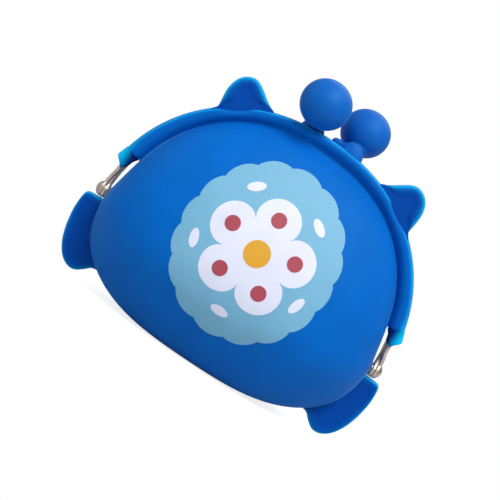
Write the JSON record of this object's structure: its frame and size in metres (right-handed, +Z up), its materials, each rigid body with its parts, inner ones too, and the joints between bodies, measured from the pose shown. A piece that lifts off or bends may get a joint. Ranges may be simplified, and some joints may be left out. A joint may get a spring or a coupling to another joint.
{
  "type": "squeeze coin purse",
  "caption": "Soft rubber coin purse with a hinged metal kiss-lock frame, crossed ball clasps, ear and wing shaped flaps and a printed flower medallion.",
  "frame": {"origin": "centre of the purse's width and depth, on the surface its flat base stands on", "axes": "+Z up through the clasp, +X to the right seen from the printed front, +Y towards the back; the hinge line runs along X"},
  "size_m": [0.1, 0.0447, 0.088],
  "materials": {
    "body_silicone": "matte, soft-touch",
    "rim_silicone": "matte, soft-touch",
    "ear_silicone": "matte, soft-touch",
    "frame_steel": "nickel-plated, satin",
    "bead_steel": "nickel-plated",
    "ink_pale_blue": "flat screen-printed ink",
    "ink_white": "flat screen-printed ink",
    "ink_red": "flat screen-printed ink",
    "ink_ochre": "flat screen-printed ink"
  },
  "bodies": {
    "pouch": {"pouch_bowl": "body_silicone", "left_wing": "ear_silicone", "right_wing": "ear_silicone", "left_rivet": "frame_steel", "right_rivet": "frame_steel"},
    "front_half": {"front_frame_bow": "frame_steel", "front_kiss_post": "frame_steel", "front_kiss_bead": "bead_steel", "front_rim_sleeve": "rim_silicone", "front_ball_cover": "body_silicone", "front_panel": "body_silicone", "print_medallion": "ink_pale_blue", "print_flower": "ink_white", "print_rings": "ink_red", "print_eye": "ink_ochre", "left_ear": "ear_silicone", "right_ear": "ear_silicone"},
    "back_half": {"back_frame_bow": "frame_steel", "back_kiss_post": "frame_steel", "back_kiss_bead": "bead_steel", "back_rim_sleeve": "rim_silicone", "back_ball_cover": "body_silicone", "back_panel": "body_silicone"}
  },
  "joints": [
    {"name": "front_hinge", "type": "hinge", "parent": "pouch", "child": "front_half", "pos_m": [0, 0, 0.0263], "axis": [1, 0, 0], "range_deg": [0, 35]},
    {"name": "back_hinge", "type": "hinge", "parent": "pouch", "child": "back_half", "pos_m": [0, 0, 0.0263], "axis": [1, 0, 0], "range_deg": [-35, 0]}
  ],
  "couplings": [
    {"joint": "back_hinge", "follows": "front_hinge", "ratio": -1}
  ]
}
